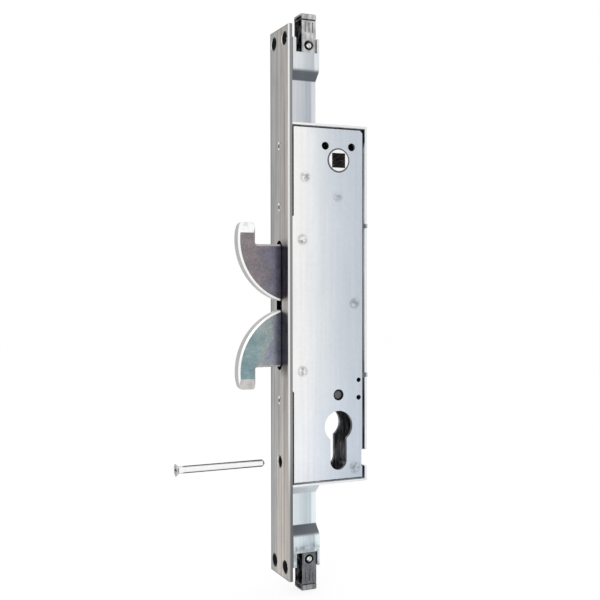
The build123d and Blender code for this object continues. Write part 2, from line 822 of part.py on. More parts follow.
# Cylinder fixing screw, drawn back in front of its hole
with BuildPart() as cylinder_screw:
    with BuildSketch(Plane.XZ):
        with BuildLine():
            head_x = -plate_thickness - screw_withdrawn
            Polyline(
                (head_x, screw_height),
                (head_x, screw_height + screw_head_radius),
                (head_x + screw_head_depth, screw_height + screw_radius),
                (head_x + screw_length - screw_point, screw_height + screw_radius),
                (head_x + screw_length, screw_height + screw_radius / 2),
                (head_x + screw_length, screw_height),
                close=True,
            )
        make_face()
    revolve(axis=Axis((0, 0, screw_height), (1, 0, 0)))
    with BuildSketch(Plane.YZ.offset(head_x)):
        with Locations((0, screw_height)):
            Rectangle(screw_cross_width, screw_cross_length)
            Rectangle(screw_cross_length, screw_cross_width)
    extrude(amount=screw_cross_depth, mode=Mode.SUBTRACT)
cylinder_screw.part.label = "cylinder_screw"
export_step(cylinder_screw.part, "parts/cylinder_screw.step")
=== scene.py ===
import math

import bpy
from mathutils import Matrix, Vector


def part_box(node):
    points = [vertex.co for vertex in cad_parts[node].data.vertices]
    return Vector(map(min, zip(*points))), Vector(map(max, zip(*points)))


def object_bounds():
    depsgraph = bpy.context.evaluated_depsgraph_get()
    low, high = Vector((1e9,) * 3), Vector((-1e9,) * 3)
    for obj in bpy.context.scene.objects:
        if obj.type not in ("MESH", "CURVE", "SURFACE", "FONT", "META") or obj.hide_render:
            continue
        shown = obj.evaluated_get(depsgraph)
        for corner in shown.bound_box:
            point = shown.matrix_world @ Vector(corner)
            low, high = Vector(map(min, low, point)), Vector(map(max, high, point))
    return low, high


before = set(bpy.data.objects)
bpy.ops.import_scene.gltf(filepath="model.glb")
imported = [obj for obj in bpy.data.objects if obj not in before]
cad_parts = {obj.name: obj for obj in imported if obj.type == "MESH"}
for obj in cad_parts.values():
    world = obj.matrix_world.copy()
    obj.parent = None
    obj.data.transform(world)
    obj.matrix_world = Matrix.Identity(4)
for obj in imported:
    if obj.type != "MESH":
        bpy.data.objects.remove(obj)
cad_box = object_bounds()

MM = 0.001


def corners(name):
    """Lowest and highest corner of a node, in metres."""
    low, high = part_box(name)
    return Vector(low), Vector(high)


def middle(name):
    low, high = corners(name)
    return (low + high) / 2


def across_and_up(name):
    centre = middle(name)
    return centre.x, centre.z


# Camera of the photograph
CAMERA_PLACE = Vector((-208.0, -489.8, 13.3)) * MM
CAMERA_TARGET = Vector((10.2, 0.0, 2.0)) * MM
CAMERA_ROLL = math.radians(-0.07)
CAMERA_LENS = 57.0
CAMERA_SENSOR = 36.0
CAMERA_NEAREST = 0.01

# Floor and room
FLOOR_HEIGHT = cad_box[0][2]
FLOOR_GAP = 0.0005
FLOOR_SIZE = 6.0
FLOOR_COLOUR = (0.90, 0.90, 0.90)
FLOOR_ROUGHNESS = 0.9
FLOOR_GLOW = 1.06
FLOOR_GLOW_SHARE = 0.8
ROOM_LIGHT = 0.8
ROOM_SEEN = 1.0
WHITE = (1.0, 1.0, 1.0)

# Tint at a grazing angle of metal that stays dark from every side, and of the nickel plated screw
BLACKENED = (0.06, 0.06, 0.06)
NICKEL_TINT = (0.2, 0.2, 0.2)

# Depths of grain as bump, and the loose screw's thread, in metres
FINE_GRAIN = 0.00001
GRAIN = 0.00002
COARSE_GRAIN = 0.00003
THREAD_DEPTH = 0.0001
THREAD_PITCH = 0.0007

# Pieces whose corners the marks follow
PLATE_LOW, PLATE_HIGH = corners("faceplate")
COVER_LOW, COVER_HIGH = corners("case_cover")
WALLS_LOW, WALLS_HIGH = corners("case_walls")
BAR_LOW, BAR_HIGH = corners("upper_drive_bar")

# Faceplate: a fixing hole and the loose screw's hole, each across and up, then the slot and the rivets
FIXING_HOLE = (0.0075, PLATE_HIGH.z - 0.007)
FIXING_HOLE_RADIUS = 0.0036
SCREW_HOLE = (-0.0003, middle("cylinder_screw").z)
SCREW_HOLE_RADIUS = 0.0031
SLOT_HALF_WIDTH = 0.0038
SLOT_HALF_HEIGHT = 0.0385
RIVET_HEIGHTS = (0.088, 0.054, -0.054)

# Gap between the hooks
UPPER_HOOK_LOWEST = corners("upper_hook")[0].z
LOWER_HOOK_HIGHEST = corners("lower_hook")[1].z
HOOK_GAP_HEIGHT = (UPPER_HOOK_LOWEST + LOWER_HOOK_HIGHEST) / 2
HOOK_GAP_HALF = (UPPER_HOOK_LOWEST - LOWER_HOOK_HIGHEST) / 2
HOOK_NEAR_FACE = corners("upper_hook")[0].y

# Case
COVER_INNER_FACE = COVER_HIGH.y
BACK_OUTER_FACE = corners("case_back")[1].y
TAB_LENGTH = 0.0036
TAB_FRONT = COVER_HIGH.x - TAB_LENGTH
WALL_THICKNESS = 0.0015

# Share of painted shade on the tabs of the cover, and share of metal that the faces inside the case lack
SHADE_OF_TABS = 0.92
BARE_INSIDE = 0.7

# Smudges round the riveted ends on the cover: place across and up, radius, strength
FRONT_POST = (0.0095, 0.0704)
REAR_POST = (0.0403, 0.0)
LOW_POST = (0.0403, -0.0936)
SMUDGES = (
    (across_and_up("upper_hook_pivot"), 0.0030, 0.85),
    (across_and_up("lower_hook_pivot"), 0.0030, 0.85),
    (FRONT_POST, 0.0030, 0.8),
    (REAR_POST, 0.0034, 0.7),
    (LOW_POST, 0.0036, 0.75),
    (across_and_up("idler_axle"), 0.0026, 0.6),
)
RIVETED_RADIUS = 0.0034

# Colours of the hooks' flat sides, from the outside to the faceplate, and of the bevels at their tips,
# painted as a highlight on the upper hook and as shade on the lower
UPPER_HOOK_SIDE = (
    (0.0, (0.25, 0.225, 0.23)),
    (0.45, (0.225, 0.205, 0.215)),
    (0.75, (0.195, 0.185, 0.225)),
    (1.0, (0.20, 0.205, 0.27)),
)
LOWER_HOOK_SIDE = (
    (0.0, (0.22, 0.33, 0.35)),
    (0.4, (0.28, 0.365, 0.37)),
    (0.7, (0.34, 0.385, 0.38)),
    (1.0, (0.24, 0.25, 0.36)),
)
UPPER_HOOK_TIP = (0.96, 0.96, 0.96)
LOWER_HOOK_TIP = (0.62, 0.61, 0.60)

# Colours of the connectors: their fronts and their caps
UPPER_CONNECTOR = ((0.49, 0.49, 0.49), (0.48, 0.48, 0.48))
LOWER_CONNECTOR = ((0.15, 0.158, 0.17), (0.26, 0.265, 0.27))


class Finish:
    """One procedural metal, put together from a few kinds of node."""

    def __init__(self, name, edge_tint=WHITE):
        self.material = bpy.data.materials.new(name)
        self.material.use_nodes = True
        self.tree = self.material.node_tree
        self.shader = self.tree.nodes["Principled BSDF"]
        self.shader.inputs["Metallic"].default_value = 1.0
        self.shader.inputs["Specular Tint"].default_value = (*edge_tint, 1.0)
        self.place = self.tree.nodes.new("ShaderNodeTexCoord")

    def join(self, value, socket):
        """Links a node's output to a socket, or sets the socket to a plain value."""
        if isinstance(value, bpy.types.NodeSocket):
            self.tree.links.new(value, socket)
        else:
            socket.default_value = value

    def maths(self, operation, *values):
        node = self.tree.nodes.new("ShaderNodeMath")
        node.operation = operation
        for value, socket in zip(values, node.inputs):
            self.join(value, socket)
        return node.outputs[0]

    def both(self, first, second):
        return self.maths("MULTIPLY", first, second)

    def either(self, first, second):
        return self.maths("MAXIMUM", first, second)

    def without(self, share):
        """1 where the share is 0, and 0 where it is 1."""
        return self.maths("SUBTRACT", 1.0, share)

    def size(self, value):
        """The value without its sign."""
        return self.maths("ABSOLUTE", value)

    def rise(self, base, share, reach):
        """Base where the share is 0, and base plus reach where it is 1."""
        return self.maths("ADD", base, self.both(share, reach))

    def drift(self, value, noise, reach):
        """The value, moved up and down by the noise by half of the reach at most."""
        return self.maths("ADD", value, self.both(self.maths("SUBTRACT", noise, 0.5), reach))

    def axis(self, letter):
        """One coordinate of the piece's own space, in metres."""
        return self.split("Object", letter)

    def facing(self, letter):
        """One coordinate of the face's normal."""
        return self.split("Normal", letter)

    def split(self, output, letter):
        node = self.tree.nodes.new("ShaderNodeSeparateXYZ")
        self.tree.links.new(self.place.outputs[output], node.inputs[0])
        return node.outputs[letter]

    def between(self, value, low, high):
        """0 at low and 1 at high, held at the ends."""
        node = self.tree.nodes.new("ShaderNodeMapRange")
        node.interpolation_type = "SMOOTHSTEP"
        self.join(value, node.inputs["Value"])
        node.inputs["From Min"].default_value = low
        node.inputs["From Max"].default_value = high
        return node.outputs["Result"]

    def noise(self, stretch, detail, roughness=0.55, seed=0.0):
        """Noise whose grain along each axis is given in cycles per metre."""
        mapping = self.tree.nodes.new("ShaderNodeMapping")
        self.tree.links.new(self.place.outputs["Object"], mapping.inputs["Vector"])
        mapping.inputs["Scale"].default_value = stretch
        mapping.inputs["Location"].default_value = (seed, seed * 1.7, seed * 0.6)
        node = self.tree.nodes.new("ShaderNodeTexNoise")
        self.tree.links.new(mapping.outputs["Vector"], node.inputs["Vector"])
        node.inputs["Scale"].default_value = 1.0
        node.inputs["Detail"].default_value = detail
        node.inputs["Roughness"].default_value = roughness
        return node.outputs["Fac"]

    def ramp(self, value, *stops):
        """Colour that runs through the given (place, colour) stops."""
        node = self.tree.nodes.new("ShaderNodeValToRGB")
        points = node.color_ramp.elements
        while len(points) < len(stops):
            points.new(0.5)
        for point, (position, colour) in zip(points, stops):
            point.position = position
            point.color = (*colour, 1.0)
        self.join(value, node.inputs["Fac"])
        return node.outputs["Color"]

    def mix(self, share, first, second, blend="MIX"):
        """The first colour where the share is 0, and the second where it is 1."""
        node = self.tree.nodes.new("ShaderNodeMix")
        node.data_type = "RGBA"
        node.blend_type = blend
        node.clamp_factor = True
        self.join(share, node.inputs[0])
        for colour, socket in ((first, node.inputs[6]), (second, node.inputs[7])):
            self.join(colour if isinstance(colour, bpy.types.NodeSocket) else (*colour, 1.0), socket)
        return node.outputs[2]

    def tint(self, share, tone, colour):
        """The tone, multiplied by the colour where the share is 1."""
        return self.mix(share, tone, colour, "MULTIPLY")

    def spot(self, across, up, centre, radius, soft):
        """1 inside a circle drawn on two coordinates, fading over a soft rim."""
        aside = self.maths("SUBTRACT", across, centre[0])
        above = self.maths("SUBTRACT", up, centre[1])
        squares = self.maths("ADD", self.both(aside, aside), self.both(above, above))
        return self.between(self.maths("SQRT", squares), radius + soft, radius)

    def round_mark(self, centre, radius, soft):
        """1 inside a circle about an axis along Y."""
        return self.spot(self.axis("X"), self.axis("Z"), (centre[0], centre[2]), radius, soft)

    def rounded(self, radius):
        """Normal with the sharp edges rounded off."""
        node = self.tree.nodes.new("ShaderNodeBevel")
        node.samples = 4
        node.inputs["Radius"].default_value = radius
        return node.outputs[0]

    def worn(self, rounded):
        """1 along the edges that a rounded normal softens, and 0 on the flats."""
        geometry = self.tree.nodes.new("ShaderNodeNewGeometry")
        dot = self.tree.nodes.new("ShaderNodeVectorMath")
        dot.operation = "DOT_PRODUCT"
        self.tree.links.new(rounded, dot.inputs[0])
        self.tree.links.new(geometry.outputs["Normal"], dot.inputs[1])
        return self.between(dot.outputs["Value"], 0.995, 0.90)

    def bump(self, height, distance, normal, strength):
        node = self.tree.nodes.new("ShaderNodeBump")
        node.inputs["Strength"].default_value = strength
        node.inputs["Distance"].default_value = distance
        self.join(height, node.inputs["Height"])
        self.join(normal, node.inputs["Normal"])
        return node.outputs[0]

    def metal(self, share):
        self.join(share, self.shader.inputs["Metallic"])

    def done(self, colour, roughness, normal):
        self.join(colour, self.shader.inputs["Base Color"])
        self.join(roughness, self.shader.inputs["Roughness"])
        self.join(normal, self.shader.inputs["Normal"])
        return self.material


def dress(material, *names):
    for name in names:
        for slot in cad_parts[name].material_slots:
            slot.material = material


def drawn_bar(f, y, z, streaks):
    """Grey of the faceplate: cool on its far half, warm on its near half, paler towards its foot."""
    wavy = f.drift(y, f.noise((0, 90, 9), 4.0), 0.012)
    tone = f.ramp(
        f.between(wavy, PLATE_LOW.y + 0.0005, PLATE_HIGH.y - 0.0005),
        (0.0, (0.385, 0.36, 0.34)),
        (0.4, (0.375, 0.355, 0.338)),
        (0.7, (0.355, 0.35, 0.345)),
        (0.88, (0.325, 0.33, 0.335)),
        (1.0, (0.255, 0.265, 0.275)),
    )
    bands = f.noise((60, 330, 4), 3.0, 0.55, 3.0)
    clouds = f.noise((55, 130, 55), 4.0, 0.6, 11.0)
    tone = f.tint(0.75, tone, f.ramp(streaks, (0.32, (0.55, 0.55, 0.56)), (0.7, (1.45, 1.44, 1.42))))
    tone = f.tint(0.9, tone, f.ramp(bands, (0.35, (0.68, 0.69, 0.71)), (0.65, (1.32, 1.29, 1.25))))
    mottled = f.ramp(clouds, (0.34, (0.74, 0.75, 0.77)), (0.5, (1.0, 1.0, 1.0)), (0.7, (1.1, 1.1, 1.09)))
    tone = f.tint(0.5, tone, mottled)
    foot = f.between(z, -0.045, -0.12)
    return f.tint(foot, tone, (1.26, 1.22, 1.19))


def painted_hook_reflection(f, y, z):
    """1 on the strips of the faceplate nearer than the hooks, apart from the gap between them, where the
    hooks' reflection and shadow are painted dark.
    """
    off_edge = f.between(y, PLATE_LOW.y + 0.0005, PLATE_LOW.y + 0.0018)
    off_hooks = f.between(y, HOOK_NEAR_FACE + 0.0024, HOOK_NEAR_FACE + 0.0002)
    under_top = f.between(z, SLOT_HALF_HEIGHT - 0.0010, SLOT_HALF_HEIGHT - 0.0075)
    over_bottom = f.between(z, -SLOT_HALF_HEIGHT - 0.0045, -SLOT_HALF_HEIGHT + 0.0045)
    from_gap = f.size(f.maths("SUBTRACT", z, HOOK_GAP_HEIGHT))
    off_gap = f.between(from_gap, HOOK_GAP_HALF, HOOK_GAP_HALF + 0.0048)
    strips = f.both(f.both(f.both(off_edge, off_hooks), f.both(under_top, over_bottom)), off_gap)
    patchy = f.between(f.noise((160, 420, 120), 3.0, 0.6, 5.0), 0.36, 0.60)
    return f.both(strips, f.rise(0.74, patchy, 0.26))


def painted_near_side_light(f, tone, side, x, z):
    """Long side nearest the camera: a painted highlight along its corner, and painted shade behind it and
    low down.
    """
    low_down = f.between(z, -0.07, -0.115)
    painted_shade = f.mix(low_down, (0.27, 0.27, 0.272), (0.155, 0.155, 0.158))
    bright = f.mix(low_down, (0.80, 0.80, 0.80), (0.42, 0.42, 0.42))
    corner = f.between(x, PLATE_LOW.x + 0.0011, PLATE_LOW.x + 0.0007)
    return f.mix(side, tone, f.mix(corner, painted_shade, bright))


def plate_holes(f, y, z):
    """1 where the faceplate's holes and its slot are."""
    fixing = f.spot(f.size(y), f.size(z), FIXING_HOLE, FIXING_HOLE_RADIUS, 0.0002)
    screw = f.spot(y, z, SCREW_HOLE, SCREW_HOLE_RADIUS, 0.0005)
    across = f.between(f.size(y), SLOT_HALF_WIDTH + 0.0002, SLOT_HALF_WIDTH)
    along = f.between(f.size(z), SLOT_HALF_HEIGHT + 0.0005, SLOT_HALF_HEIGHT)
    return f.either(f.either(fixing, screw), f.both(across, along))


def faceplate_steel():
    """Stainless bar with grain along its length; painted shade on its far edge and ends, on the arrises away
    from the camera and in its holes, a painted reflection of the hooks, and a painted highlight along its
    near corner.
    """
    f = Finish("faceplate_steel")
    x, y, z = f.axis("X"), f.axis("Y"), f.axis("Z")
    streaks = f.noise((300, 1500, 8), 5.0, 0.7)
    tone = drawn_bar(f, y, z, streaks)
    # Painted reflection and shadow of the hooks on the faceplate beside them
    tone = f.tint(painted_hook_reflection(f, y, z), tone, (0.13, 0.125, 0.14))
    side = f.between(f.facing("Y"), -0.3, -0.7)
    # Painted highlight along the near corner and painted shade on the near side
    tone = painted_near_side_light(f, tone, side, x, z)
    # Painted shade along the far edge and on the ends
    far_edge = f.between(y, PLATE_HIGH.y - 0.0030, PLATE_HIGH.y - 0.0010)
    ends = f.between(f.size(z), PLATE_HIGH.z - 0.0014, PLATE_HIGH.z - 0.0004)
    painted_shade = f.both(f.either(far_edge, ends), f.maths("SUBTRACT", 0.85, side))
    tone = f.mix(painted_shade, tone, (0.17, 0.175, 0.18))
    # The arrises away from the camera and the walls of the holes lean off the front face; painted shade
    # darkens the arrises and makes the holes nearly black
    leaning = f.without(f.between(f.size(f.facing("X")), 0.85, 0.97))
    front_corner = f.between(x, PLATE_LOW.x + 0.0005, PLATE_LOW.x + 0.00035)
    arris = f.both(front_corner, f.between(f.facing("Y"), -0.2, 0.2))
    tone = f.mix(f.both(arris, leaning), tone, (0.09, 0.09, 0.092))
    tone = f.mix(f.both(plate_holes(f, y, z), leaning), tone, (0.012, 0.011, 0.011))
    return f.done(tone, f.rise(0.22, streaks, 0.16), f.bump(streaks, GRAIN, f.rounded(0.0004), 0.6))


def plate_rivets():
    """Rivets flush with the faceplate: painted shade in a dimple and in a fleck beside it, and painted
    highlights above and below.
    """
    f = Finish("plate_rivets")
    y, z = f.axis("Y"), f.axis("Z")
    streaks = f.noise((300, 1500, 20), 4.0, 0.7)
    tone = f.ramp(streaks, (0.3, (0.33, 0.32, 0.31)), (0.7, (0.46, 0.44, 0.425)))
    for height in RIVET_HEIGHTS:
        # Painted highlights above and below each rivet, then painted shade in its dimple and in a fleck
        # beside it
        above = f.spot(y, z, (0.0004, height + 0.0016), 0.0005, 0.0005)
        below = f.spot(y, z, (0.0004, height - 0.0018), 0.0004, 0.0005)
        tone = f.mix(f.both(f.either(above, below), 0.9), tone, (0.95, 0.95, 0.95))
        painted_dimple_shade = f.spot(y, z, (0.0003, height - 0.0002), 0.0008, 0.0006)
        painted_fleck_shade = f.spot(y, z, (-0.0016, height + 0.0013), 0.0003, 0.0005)
        tone = f.mix(f.both(f.either(painted_dimple_shade, painted_fleck_shade), 0.9), tone, (0.03, 0.03, 0.03))
    rounded = f.rounded(0.0003)
    tone = f.mix(f.both(f.worn(rounded), 0.5), tone, (0.6, 0.6, 0.6))
    return f.done(tone, f.rise(0.24, streaks, 0.14), f.bump(streaks, GRAIN, rounded, 0.6))


class Sheet(Finish):
    """Bright zinc plated sheet, bluer to the rear: whitest beside the faceplate under painted light, with
    painted shade inside the case.
    """

    def __init__(self, name):
        super().__init__(name)
        self.clouds = self.noise((38, 38, 16), 4.0, 0.6)
        self.grain = self.noise((500, 500, 12), 4.0, 0.6, 2.0)
        self.specks = self.noise((420, 420, 420), 3.0, 0.6, 7.0)

    def plate(self):
        """Colour of the outside, with painted light that is whitest beside the faceplate and falls off
        towards the rear.
        """
        x, z = self.axis("X"), self.axis("Z")
        high_rear = self.both(self.between(z, 0.03, 0.10), self.between(x, 0.008, 0.03))
        across = self.maths("ADD", self.drift(x, self.clouds, 0.016), self.both(high_rear, 0.010))
        # Painted light: whitest beside the faceplate, darker towards the rear
        tone = self.ramp(
            self.between(across, COVER_LOW.x - 0.004, COVER_HIGH.x + 0.0015),
            (0.0, (0.93, 0.915, 0.90)),
            (0.18, (0.86, 0.865, 0.875)),
            (0.42, (0.735, 0.765, 0.795)),
            (0.72, (0.635, 0.68, 0.73)),
            (1.0, (0.555, 0.60, 0.66)),
        )
        low = self.between(z, -0.02, -0.09)
        tone = self.tint(self.both(low, 0.8), tone, (0.965, 0.995, 1.045))
        lowest = self.between(z, -0.082, -0.102)
        tone = self.tint(lowest, tone, (0.93, 0.935, 0.94))
        grained = self.ramp(self.grain, (0.3, (0.84, 0.85, 0.86)), (0.7, (1.12, 1.12, 1.12)))
        specked = self.ramp(self.specks, (0.35, (0.86, 0.87, 0.87)), (0.65, (1.1, 1.1, 1.1)))
        return self.tint(0.15, self.tint(0.3, tone, grained), specked)

    def dark(self):
        """Streaky painted shade of the inside."""
        streaks = self.noise((900, 220, 110), 4.0, 0.65, 12.0)
        return self.ramp(
            streaks,
            (0.36, (0.016, 0.016, 0.018)),
            (0.54, (0.085, 0.087, 0.092)),
            (0.66, (0.32, 0.322, 0.33)),
        )

    def lined(self, outside, inside, within, bare):
        """Both colours on one sheet: within is 1 on its inner faces, and bare is its share without metal."""
        self.metal(self.without(bare))
        tone = self.mix(within, outside, inside)
        normal = self.bump(self.grain, FINE_GRAIN, self.rounded(0.0003), 0.5)
        return self.done(tone, self.rise(0.24, self.clouds, 0.14), normal)


def inside_cover(f):
    """1 on the cover's inner face, on the walls of its holes and on the posts inside the case."""
    x, y, z = f.axis("X"), f.axis("Y"), f.axis("Z")
    walls = f.without(f.between(f.size(f.facing("Y")), 0.2, 0.6))
    off_front = f.between(x, COVER_LOW.x + 0.0030, COVER_LOW.x + 0.0045)
    off_rear = f.between(x, TAB_FRONT - 0.0003, TAB_FRONT - 0.0007)
    off_bottom = f.between(z, COVER_LOW.z, COVER_LOW.z + 0.0005)
    off_top = f.between(z, COVER_HIGH.z, COVER_HIGH.z - 0.0005)
    lining = f.both(walls, f.both(f.both(off_front, off_rear), f.both(off_bottom, off_top)))
    behind = f.between(y, COVER_INNER_FACE - 0.0003, COVER_INNER_FACE)
    ahead = f.between(y, BACK_OUTER_FACE, BACK_OUTER_FACE - 0.0002)
    return f.either(lining, f.both(behind, ahead))


def on_tabs(f):
    """1 on the cover's rear tabs, but not on their ends."""
    x = f.axis("X")
    in_cover = f.between(f.axis("Y"), COVER_INNER_FACE + 0.0002, COVER_INNER_FACE - 0.0001)
    tabs = f.both(f.between(x, TAB_FRONT, TAB_FRONT + 0.0003), in_cover)
    off_ends = f.between(x, COVER_HIGH.x - 0.0003, COVER_HIGH.x - 0.0015)
    return f.both(tabs, f.both(f.between(f.size(f.facing("X")), 0.5, 0.3), off_ends))


def cover_zinc():
    """Cover of the case and the riveted ends in it, each with a smudge, with painted shade on its rear tabs
    and inside the case.
    """
    f = Sheet("cover_zinc")
    x, z = f.axis("X"), f.axis("Z")
    tone = f.plate()
    riveted = 0.0
    for place, radius, strength in SMUDGES:
        smudge = f.both(f.spot(x, z, place, radius * 0.3, radius), f.between(f.specks, 0.36, 0.58))
        tone = f.mix(f.both(smudge, strength), tone, (0.20, 0.22, 0.22))
        riveted = f.either(riveted, f.spot(x, z, place, RIVETED_RADIUS, 0.0004))
    # Painted shade in the seam where the tabs pass through the rear wall
    tone = f.mix(f.both(on_tabs(f), SHADE_OF_TABS), tone, (0.10, 0.105, 0.11))
    # Painted shade on the inner faces, apart from the riveted ends
    within = f.both(inside_cover(f), f.without(f.both(riveted, 0.7)))
    return f.lined(tone, f.dark(), within, f.both(within, BARE_INSIDE))


def back_zinc():
    """Back of the case, seen from inside through the profile hole, with painted shade on its inner face."""
    f = Sheet("back_zinc")
    within = f.between(f.axis("Y"), BACK_OUTER_FACE, BACK_OUTER_FACE - 0.0002)
    # Painted shade on the inner face
    return f.lined(f.plate(), f.dark(), within, f.both(within, BARE_INSIDE))


def inside_walls(f):
    """1 on the inner faces of the folded walls."""
    x, z = f.axis("X"), f.axis("Z")
    low = WALLS_LOW + Vector((WALL_THICKNESS, 0.0, WALL_THICKNESS))
    high = WALLS_HIGH - Vector((WALL_THICKNESS, 0.0, WALL_THICKNESS))
    behind = f.between(x, low.x - 0.0003, low.x - 0.0001)
    ahead = f.between(x, high.x + 0.0003, high.x + 0.0001)
    above = f.between(z, low.z - 0.0004, low.z - 0.0001)
    under = f.between(z, high.z + 0.0004, high.z + 0.0001)
    return f.both(f.both(behind, ahead), f.both(above, under))


def lit_walls(f, within):
    """1 near the cover on the walls' inner faces that take painted light: under the top, on the bottom and
    at the rear.
    """
    x, z = f.axis("X"), f.axis("Z")
    facing = f.facing("Z")
    under_top = f.both(f.between(facing, -0.5, -0.9), 0.9)
    on_bottom = f.both(f.between(facing, 0.5, 0.9), f.between(x, WALLS_LOW.x + 0.004, WALLS_LOW.x + 0.012))
    rear_top = f.between(z, COVER_HIGH.z - 0.0055, COVER_HIGH.z - 0.010)
    rear_height = f.both(f.between(z, -0.060, -0.020), rear_top)
    rear_face = f.between(x, WALLS_HIGH.x - 0.0020, WALLS_HIGH.x - 0.0016)
    rear = f.both(f.both(rear_height, rear_face), f.between(f.size(facing), 0.5, 0.3))
    front = f.both(f.between(f.axis("Y"), COVER_INNER_FACE + 0.0042, COVER_INNER_FACE + 0.0022), within)
    return f.both(front, f.either(rear, f.either(under_top, on_bottom)))


def wall_zinc():
    """Folded walls of the case, with pale rims, painted light on the inner faces just behind them and
    painted shade deeper inside.
    """
    f = Sheet("wall_zinc")
    within = inside_walls(f)
    lit = lit_walls(f, within)
    outside = f.mix(0.75, f.plate(), (0.88, 0.89, 0.90))
    # Painted light on the inner faces near the cover, and painted shade on the rest of the inside
    pale = f.ramp(f.clouds, (0.35, (0.72, 0.73, 0.74)), (0.65, (0.98, 0.98, 0.98)))
    return f.lined(outside, f.mix(lit, f.dark(), pale), within, f.either(f.both(within, BARE_INSIDE), lit))


def strip_tone(f, x, z, grain, clouds):
    """Colour of the drive bars: lighter at both edges, fine upright grain, smudges at the lower foot."""
    tone = f.ramp(
        f.between(x, BAR_LOW.x, BAR_HIGH.x),
        (0.0, (0.66, 0.68, 0.71)),
        (0.25, (0.60, 0.625, 0.66)),
        (0.55, (0.50, 0.53, 0.57)),
        (0.84, (0.47, 0.495, 0.54)),
        (0.88, (0.40, 0.42, 0.455)),
        (0.92, (0.62, 0.65, 0.68)),
        (1.0, (0.70, 0.72, 0.745)),
    )
    lower_bar = f.between(z, -0.05, -0.10)
    tone = f.tint(lower_bar, tone, (1.13, 1.2, 1.18))
    upper_foot = f.between(z, 0.125, 0.134)
    tone = f.tint(upper_foot, tone, (1.14, 1.14, 1.12))
    lower_foot = f.between(z, -0.1330, -0.1375)
    smudges = f.noise((330, 330, 260), 4.0, 0.65, 8.0)
    smudged = f.ramp(smudges, (0.36, (0.42, 0.43, 0.44)), (0.62, (0.95, 0.95, 0.96)))
    tone = f.tint(lower_foot, tone, smudged)
    tone = f.tint(0.45, tone, f.ramp(grain, (0.3, (0.78, 0.79, 0.81)), (0.7, (1.18, 1.18, 1.18))))
    return f.tint(0.4, tone, f.ramp(clouds, (0.3, (0.82, 0.83, 0.85)), (0.7, (1.14, 1.14, 1.14))))


def bar_zinc():
    """Zinc plated drive bars, with painted shade on their outer bends and on their edges towards the
    faceplate, and painted light on the bends beside the case.
    """
    f = Finish("bar_zinc")
    z = f.axis("Z")
    grain = f.noise((900, 900, 14), 4.0, 0.6)
    clouds = f.noise((70, 70, 30), 3.0, 0.55, 5.0)
    tone = strip_tone(f, f.axis("X"), z, grain, clouds)
    lean = f.size(f.facing("Z"))
    leaning = f.both(f.between(lean, 0.12, 0.62), f.between(lean, 0.98, 0.85))
    front = f.between(f.facing("Y"), 0.0, -0.1)
    # Painted shade on the front of the outer bends
    outer = f.both(f.both(leaning, f.between(f.size(z), 0.118, 0.120)), front)
    tone = f.mix(outer, tone, f.ramp(clouds, (0.3, (0.115, 0.13, 0.145)), (0.7, (0.165, 0.185, 0.20))))
    # Painted light on the bends beside the case, which lose most of their metal
    inner = f.both(leaning, f.between(f.size(z), 0.1165, 0.1150))
    tone = f.mix(inner, tone, (0.74, 0.78, 0.82))
    f.metal(f.without(f.both(inner, 0.9)))
    # Painted shade on the edges that face the faceplate
    left_edge = f.between(f.facing("X"), -0.3, -0.8)
    tone = f.mix(f.both(left_edge, 0.7), tone, (0.20, 0.205, 0.21))
    rounded = f.rounded(0.0003)
    tone = f.mix(f.both(f.worn(rounded), 0.35), tone, (0.9, 0.9, 0.9))
    return f.done(tone, f.rise(0.26, clouds, 0.14), f.bump(grain, FINE_GRAIN, rounded, 0.5))


def hook_steel(name, side, tip):
    """Steel hook: clouded colours on its flat sides, ground bevels bright as bare steel and near white as a
    painted highlight, a grey round outside with painted highlights on its faces that look up and down, and
    painted shade inside the case.
    """
    f = Finish(name)
    clouds = f.noise((120, 120, 120), 4.0, 0.6)
    patches = f.noise((210, 210, 210), 3.0, 0.6, 9.0)
    grain = f.noise((800, 800, 800), 3.0, 0.6, 4.0)
    outermost = corners(name)[0].x
    flat = f.ramp(f.between(f.drift(f.axis("X"), clouds, 0.026), outermost, PLATE_HIGH.x), *side)
    flat = f.tint(0.8, flat, f.ramp(patches, (0.32, (0.78, 0.80, 0.84)), (0.68, (1.25, 1.18, 1.15))))
    flat = f.tint(0.65, flat, f.ramp(grain, (0.3, (0.72, 0.72, 0.74)), (0.7, (1.25, 1.25, 1.25))))
    facing = f.size(f.facing("Y"))
    ground = f.between(facing, 0.985, 0.965)
    outside = f.ramp(clouds, (0.3, (0.37, 0.365, 0.36)), (0.7, (0.49, 0.485, 0.48)))
    # Painted highlight on the faces that look up and down
    upright = f.between(f.size(f.facing("Z")), 0.90, 0.97)
    outside = f.mix(upright, outside, (0.80, 0.80, 0.79))
    # Ground bevels, bright as bare steel and near white as a painted highlight
    at_tip = f.both(f.between(facing, 0.80, 0.88), ground)
    mottled = f.tint(0.6, tip, f.ramp(patches, (0.38, (0.70, 0.70, 0.69)), (0.55, (1.05, 1.05, 1.05))))
    bevel = f.mix(at_tip, (0.97, 0.97, 0.96), mottled)
    rim = f.between(facing, 0.5, 0.3)
    tone = f.mix(ground, flat, f.mix(rim, bevel, outside))
    # Painted shade where the hook goes into the case
    in_case = f.between(f.axis("X"), PLATE_LOW.x - 0.0011, PLATE_LOW.x + 0.0001)
    tone = f.mix(in_case, tone, (0.03, 0.03, 0.035))
    return f.done(tone, f.rise(0.26, clouds, 0.14), f.bump(grain, FINE_GRAIN, f.rounded(0.00012), 0.5))


